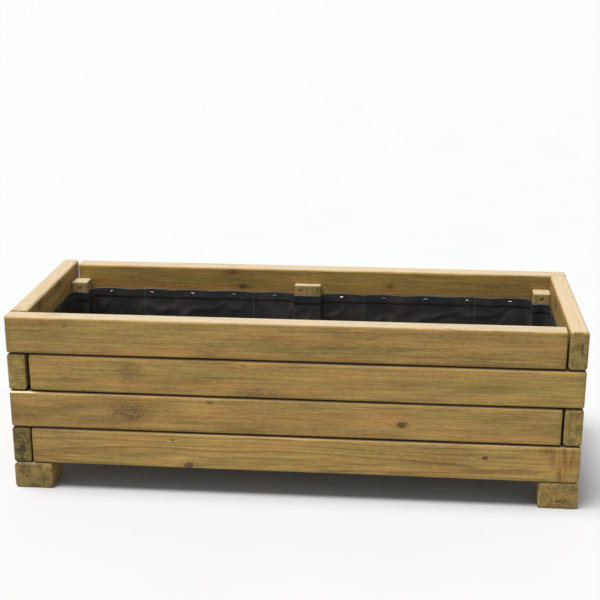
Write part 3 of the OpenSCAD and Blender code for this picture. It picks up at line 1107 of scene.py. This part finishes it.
def floor_height(grid, spacing, bottom):
    """Cloth laid on the slats, in soft waves and creases, dipping a little between them."""
    height = np.full(len(grid), bottom)
    away = smooth(spacing, 0, 45 * MM)
    place = np.column_stack([grid * 7, np.zeros(len(grid))])
    height += away * 4.5 * MM * np.clip(noise(place, 21, 3) + 0.1, 0, 1)
    height += away * 2.2 * MM * smooth(1 - np.abs(noise(place * 0.8 + 6, 23, 2)), 0.86, 1.0)
    slats = [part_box(f"floor_slat_{i}") for i in range(1, SLATS + 1)]
    for one, two in zip(slats[:-1], slats[1:]):
        middle, wide = (one[1][0] + two[0][0]) / 2, (two[0][0] - one[1][0]) / 2
        dip = np.clip(1 - ((grid[:, 0] - middle) / (wide - 0.5 * MM)) ** 2, 0, 1)
        height -= away * 2.0 * MM * dip
    return height


def floor_faces(rim, grid, rim_start, grid_start):
    """Triangles between the rim and the scattered points, as numbers of the liner's points."""
    ring = len(rim)
    flat = [Vector(p) for p in rim] + [Vector(p) for p in grid]
    outline = [(i, (i + 1) % ring) for i in range(ring)]
    made = delaunay_2d_cdt(flat, outline, [], 1, 1e-6)
    first = [origins[0] for origins in made[3]]
    number = np.array([rim_start + i if i < ring else grid_start + i - ring for i in first])
    return number[np.array(made[2])]


def facing_of(points, faces):
    corner = points[faces]
    return np.cross(corner[:, 1] - corner[:, 0], corner[:, 2] - corner[:, 0])


def cloth_places(points, faces):
    """Weave coordinates of each face's corners, which follow the side of the tub it lies on."""
    facing = np.abs(facing_of(points, faces))
    corner = points[faces]
    faces_y = facing[:, 1] > facing[:, 0]
    faces_up = facing[:, 2] > 0.7 * norm(facing, axis=1)
    cloth = np.where(faces_y[:, None, None], corner[..., (0, 2, 1)], corner[..., (1, 2, 0)])
    return np.where(faces_up[:, None, None], corner, cloth)


def make_liner(material):
    """Ground cover folded into a tub: hemmed, stapled below the rim, slack on the walls, laid on slats."""
    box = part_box("liner")
    (x0, y0, bottom), (x1, y1, top) = box
    plan = liner_plan(box)
    rings = liner_walls(plan, bottom, top)
    rim = rings[-1][:, :2]
    count = len(rim)
    walls = np.concatenate(rings)
    grid, spacing = floor_points(plan, rim, box)
    points = np.concatenate([walls, np.column_stack([grid, floor_height(grid, spacing, bottom)])])
    floor = floor_faces(rim, grid, len(walls) - count, len(walls))
    upside_down = facing_of(points, floor)[:, 2] < 0
    floor[upside_down] = floor[upside_down][:, ::-1]
    faces = np.concatenate([ring_faces(len(rings), count), floor])

    made = mesh_object("liner_fabric", points, faces)
    layer = made.data.attributes.new("cloth", "FLOAT_VECTOR", "CORNER")
    layer.data.foreach_set("vector", cloth_places(points, faces).astype(np.float32).ravel())
    thick = made.modifiers.new("thickness", "SOLIDIFY")
    thick.thickness = FABRIC
    thick.offset = 1
    stand_in(made, "liner", material)


# ---- the object

make_camera()
make_studio()

# The third colour given to each wood is painted light: the paler colour of faces that turn upwards, for
# strong light from above.
WALL = wood_material("pine_wall", early=(0.300, 0.192, 0.053), late=(0.160, 0.088, 0.021),
                     lit_top=(0.36, 0.300, 0.212), end_tone=(0.265, 0.180, 0.056))
FEET = wood_material("pine_feet", early=(0.270, 0.172, 0.056), late=(0.150, 0.086, 0.024),
                     lit_top=(0.34, 0.29, 0.21), end_tone=(0.235, 0.160, 0.050), mottle=0.55)
FRAME = wood_material("pine_frame", early=(0.340, 0.235, 0.100), late=(0.210, 0.130, 0.048),
                      lit_top=(0.38, 0.31, 0.21), end_tone=(0.25, 0.18, 0.085))

# What sets each front board apart. Knots, blotches and stains are (along, up, half-length,
# half-height, strength) in metres. The pith and ring are where its tree's pith lay and how wide
# its rings are. The tone is how light and how warm, and the bow is in millimetres.
FRONT = {
    1: dict(
        knots=((0.389, 0.010, 0.011, 0.007, 1.0), (0.352, 0.076, 0.004, 0.003, 0.6),
               (1.104, 0.060, 0.006, 0.004, 1.0)),
        blotches=((0.393, 0.012, 0.030, 0.020, 0.35), (1.00, 0.040, 0.120, 0.018, 0.25)),
        stains=((1.284, 0.046, 0.017, 0.070, 1.0), (1.272, 0.083, 0.060, 0.012, 1.0),
                (1.288, 0.062, 0.042, 0.040, 0.8)),
        pith=(0.066, 0.030), ring=4.4 * MM, tone=(0.5, 0.3), bow=(1.6, 1.2, 0.4, 0.2, 0.2)),
    2: dict(
        knots=((0.492, 0.082, 0.006, 0.003, 0.7), (0.953, 0.041, 0.010, 0.006, 1.0)),
        blotches=((0.297, 0.047, 0.072, 0.036, 1.0), (0.695, 0.010, 0.020, 0.010, 0.3),
                  (0.160, 0.044, 0.260, 0.070, 0.17)),
        pith=(0.020, -0.060), ring=3.2 * MM, tone=(-2.0, 0.2), bow=(0.0, 0.2, 1.4, 0.8, 0.6),
        # A painted highlight along its upper edge at the left end
        lit_edge=0.12),
    3: dict(
        knots=((0.523, 0.081, 0.006, 0.004, 0.35),),
        blotches=((0.245, 0.053, 0.040, 0.044, 0.60), (0.565, 0.014, 0.085, 0.019, 0.80)),
        pith=(-0.010, -0.035), ring=2.6 * MM, tone=(-0.6, -0.3), bow=(2.4, 2.0, 0.8, 0.4, 0.4)),
    4: dict(
        knots=((0.147, 0.073, 0.004, 0.003, 0.5),),
        blotches=((0.620, 0.050, 0.050, 0.020, 0.25), (0.060, 0.046, 0.200, 0.080, 0.14)),
        pith=(0.030, 0.150), ring=3.0 * MM, tone=(-2.6, -0.2), bow=(1.0, 0.8, 0.2, 0.8, 1.0)),
}
# How light, and how rusty, the end grain at each front corner is
ENDS = {"left_board_3": (0.20, 0.55), "left_board_1": (-0.42, 0.05),
        "right_board_4": (-0.06, 0.30), "right_board_2": (0.04, 0.45),
        "foot_front_left": (-0.08, 0.5), "foot_front_right": (0.16, 0.4)}
# How far the end grain of some side boards stands back at the front, in millimetres
SET_BACK = {"left_board_3": (3.0, 0), "left_board_1": (2.0, 0),
            "right_board_4": (0.8, 0), "right_board_2": (1.2, 0)}


def random_knots(length, height, count, seed):
    """Knots for a side or back board, most of them small."""
    draw = np.random.default_rng(seed)
    made = []
    for _ in range(count):
        size = 0.003 + 0.009 * draw.uniform(0, 1) ** 1.6
        made.append((draw.uniform(0.06, 0.94) * length, draw.uniform(0.12, 0.88) * height,
                     size * draw.uniform(1.0, 1.7), size * 0.8, draw.uniform(0.5, 1.0)))
    return tuple(made)


def plain_marks(node, grain, seed):
    """Random knots, with a soft patch over the first two."""
    low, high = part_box(node)
    length, height = high[grain] - low[grain], high[2] - low[2]
    knots = random_knots(length, height, 1 + int(length * 2.2), seed)
    patches = tuple((x, z, 4 * rx, 3 * rz, 0.4) for x, z, rx, rz, _ in knots[:2])
    return dict(knots=knots, blotches=patches)


def wall_board(side, course, seed):
    """One board of a wall: the front ones from FRONT, the rest at random."""
    node = f"{side}_board_{course}"
    grain = 0 if side in ("front", "back") else 1
    draw = np.random.default_rng(seed)
    marks = FRONT[course] if side == "front" else plain_marks(node, grain, seed)
    checks = int(draw.integers(1, 4))
    end = (float(draw.uniform(-0.3, 0.2)), 0.3)
    above = 0 if course == COURSES else 0.8 * MM
    cut = Timber(grain, 8 * MM, end_r=4.5 * MM, seams=(0.8 * MM, above), checks=checks,
                 end=ENDS.get(node, end), set_back=SET_BACK.get(node, (0, 0)), **marks)
    timber(node, cut, WALL, seed)


def foot(corner, seed):
    node = "foot_" + corner
    cut = Timber(1, 9 * MM, end_r=3 * MM, step=4 * MM, end=ENDS.get(node, (0.0, 0.4)))
    timber(node, cut, FEET, seed)


def inner_bar(node, grain, seed, edge_r=2.5 * MM, step=9 * MM, across=3.5 * MM):
    """A sawn bar that ties the walls together or carries the floor."""
    cut = Timber(grain, edge_r, end_r=1.5 * MM, step=step, across=across, checks=1)
    timber(node, cut, FRAME, seed)


seeds = itertools.count(110, 10)
for side in SIDES:
    for course in range(1, COURSES + 1):
        wall_board(side, course, next(seeds))
for corner in CORNERS:
    foot(corner, next(seeds))
    inner_bar("corner_post_" + corner, 2, next(seeds), step=6 * MM)
for side in ("front", "back"):
    inner_bar("batten_" + side, 2, next(seeds), edge_r=2.2 * MM, step=6 * MM)
    inner_bar("floor_rail_" + side, 0, next(seeds))
for side in ("left", "right"):
    inner_bar("end_rail_" + side, 1, next(seeds))
for number in range(1, SLATS + 1):
    inner_bar(f"floor_slat_{number}", 1, next(seeds), edge_r=2.2 * MM, across=4.5 * MM)

make_liner(liner_material())
make_screws(zinc_material("yellow_zinc", (0.62, 0.50, 0.26), (0.50, 0.44, 0.34)))
make_staples(zinc_material("galvanised", (0.62, 0.62, 0.62), (0.45, 0.46, 0.48)))
